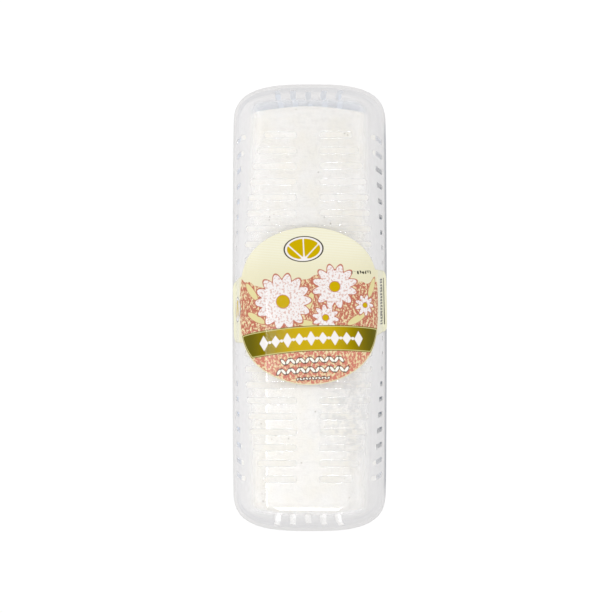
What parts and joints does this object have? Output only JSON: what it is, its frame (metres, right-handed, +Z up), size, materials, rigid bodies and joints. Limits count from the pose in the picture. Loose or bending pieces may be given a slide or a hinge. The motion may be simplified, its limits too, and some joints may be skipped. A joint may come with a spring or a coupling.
{
  "type": "goat cheese log",
  "caption": "Soft-ripened goat cheese log in a clear slotted two-part case with a round paper label, food in its pack, lying flat.",
  "frame": {"origin": "centre of the case's footprint, on the surface it rests on", "axes": "+Z up, the length of the log along Y, its width along X; the picture looks straight down with +Y at its top"},
  "size_m": [0.0858, 0.245, 0.0706],
  "materials": {
    "rind": "matt white bloomy rind of a soft cheese, finely mottled",
    "clear_plastic_tray": "clear, thin, glossy",
    "clear_plastic_cover": "clear, thin, glossy",
    "label_paper": "coated paper with a satin sheen, printed"
  },
  "bodies": {
    "root": {"cheese_log": "rind", "tray": "clear_plastic_tray", "cover": "clear_plastic_cover", "label": "label_paper"}
  },
  "joints": []
}
